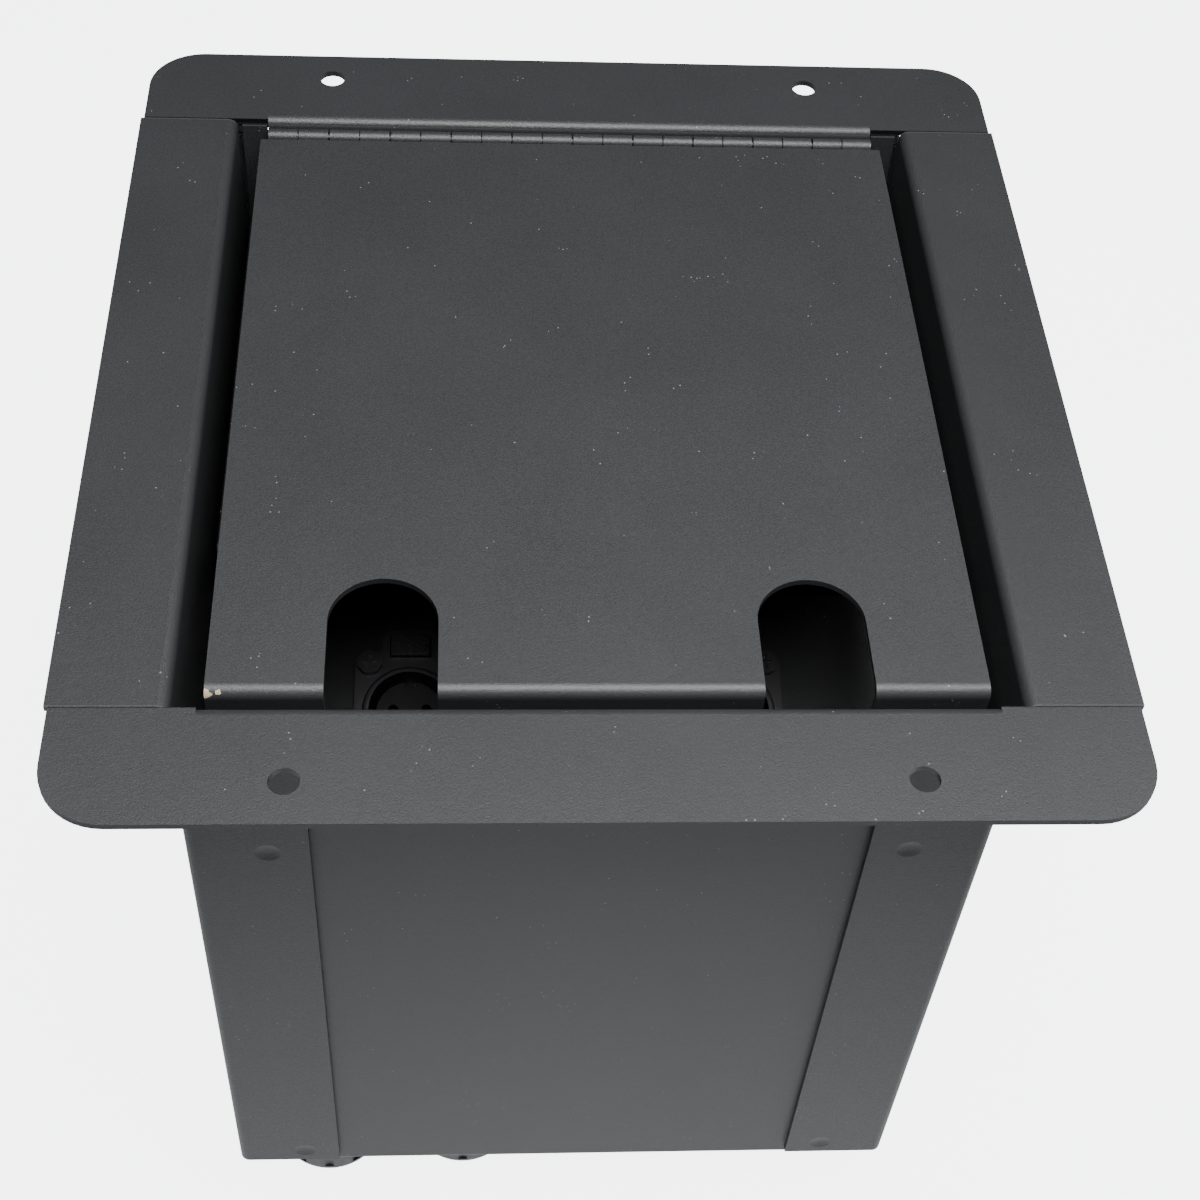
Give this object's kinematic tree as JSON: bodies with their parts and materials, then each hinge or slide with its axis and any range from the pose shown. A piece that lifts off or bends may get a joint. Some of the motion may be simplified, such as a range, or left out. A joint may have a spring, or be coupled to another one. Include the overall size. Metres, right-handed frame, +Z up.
{
  "type": "floor socket box",
  "caption": "Black steel floor box with hinged lid, cable notches and push-latch XLR receptacles on a sloping panel; rests in a cut-out by its flange.",
  "frame": {"origin": "centre of the four flange screw holes, on the underside of the flange (the floor surface)", "axes": "+Z up out of the floor, +Y to the hinge side, +X to the right seen from the notched side"},
  "size_m": [0.2244, 0.2486, 0.2305],
  "materials": {
    "powder_coat": "fine-textured satin powder coat",
    "hinge_coat": "satin",
    "pin_steel": "satin",
    "shell_black": "satin",
    "insert_plastic": "matte",
    "contact_brass": "plated",
    "tab_black": "satin",
    "spring_steel": "bright",
    "screw_black": "blackened",
    "zinc": "zinc plated",
    "gland_nylon": "matte",
    "seal_rubber": "matte"
  },
  "bodies": {
    "box": {"channel": "powder_coat", "connector_panel": "powder_coat", "gland_body_left": "gland_nylon", "gland_body_right": "gland_nylon", "gland_dome_left": "gland_nylon", "gland_dome_right": "gland_nylon", "gland_locknut_left": "gland_nylon", "gland_locknut_right": "gland_nylon", "gland_seal_left": "seal_rubber", "gland_seal_right": "seal_rubber", "hinge_leaf_fixed": "hinge_coat", "hinge_pin": "pin_steel", "latch_spring_left": "spring_steel", "latch_spring_middle": "spring_steel", "latch_spring_right": "spring_steel", "lid_stop": "powder_coat", "panel_bracket_left": "powder_coat", "panel_bracket_right": "powder_coat", "panel_nuts": "zinc", "panel_screws": "screw_black", "receptacle_contacts_left": "contact_brass", "receptacle_contacts_middle": "contact_brass", "receptacle_contacts_right": "contact_brass", "receptacle_insert_left": "insert_plastic", "receptacle_insert_middle": "insert_plastic", "receptacle_insert_right": "insert_plastic", "receptacle_nuts": "zinc", "receptacle_screws": "screw_black", "receptacle_shell_left": "shell_black", "receptacle_shell_middle": "shell_black", "receptacle_shell_right": "shell_black", "side_panel_left": "powder_coat", "side_panel_right": "powder_coat"},
    "lid": {"lid_panel": "powder_coat", "hinge_leaf_moving": "hinge_coat"},
    "push_tab_left": {"push_tab_left": "tab_black"},
    "push_tab_middle": {"push_tab_middle": "tab_black"},
    "push_tab_right": {"push_tab_right": "tab_black"}
  },
  "joints": [
    {"name": "lid_hinge", "type": "hinge", "parent": "box", "child": "lid", "pos_m": [0, 0.0924, -0.00105], "axis": [-1, 0, 0], "range_deg": [0, 120]},
    {"name": "push_tab_left_press", "type": "slide", "parent": "box", "child": "push_tab_left", "axis": [0, 0.2504, -0.9681], "range_m": [0, 0.0015], "stiffness_N_per_m": 800, "springref_m": -0.001},
    {"name": "push_tab_middle_press", "type": "slide", "parent": "box", "child": "push_tab_middle", "axis": [0, 0.2504, -0.9681], "range_m": [0, 0.0015], "stiffness_N_per_m": 800, "springref_m": -0.001},
    {"name": "push_tab_right_press", "type": "slide", "parent": "box", "child": "push_tab_right", "axis": [0, 0.2504, -0.9681], "range_m": [0, 0.0015], "stiffness_N_per_m": 800, "springref_m": -0.001}
  ]
}
